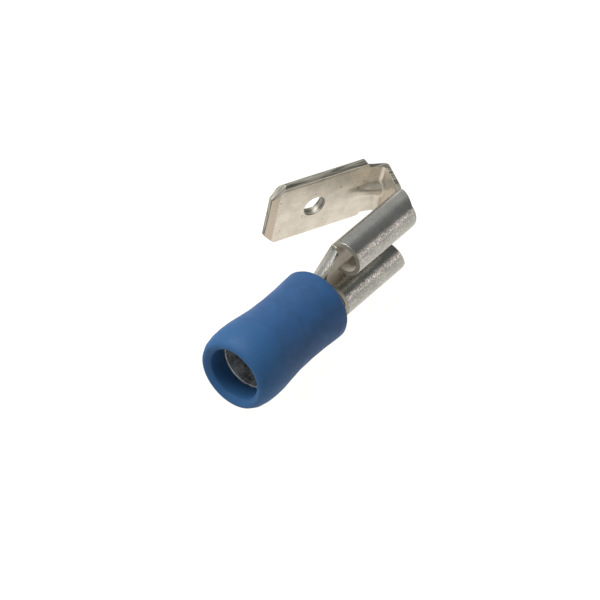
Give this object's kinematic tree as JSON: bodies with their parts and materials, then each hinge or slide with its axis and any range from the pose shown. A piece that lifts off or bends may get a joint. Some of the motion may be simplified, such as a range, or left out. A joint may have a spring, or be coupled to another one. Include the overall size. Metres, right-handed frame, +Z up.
{
  "type": "piggyback spade terminal",
  "caption": "Blue insulated piggyback spade terminal: crimp barrel in a flared sleeve, receptacle with rolled sides, and a male tab folded back over it",
  "frame": {"origin": "centre of the insulating sleeve's mouth, on the axis of the wire's bore", "axes": "-X out of the wire's entry, so +X runs from the crimp barrel to the receptacle's mouth; +Y from the receptacle toward the male tab; +Z up, across the tab's width, with the terminal lying on its side"},
  "size_m": [0.0248, 0.012, 0.008],
  "materials": {
    "tinned_brass": "tin plated, satin",
    "tinned_copper": "tin plated, satin",
    "blue_vinyl": "satin moulded vinyl"
  },
  "bodies": {
    "root": {"terminal_body": "tinned_brass", "support_sleeve": "tinned_copper", "insulating_sleeve": "blue_vinyl"}
  },
  "joints": []
}
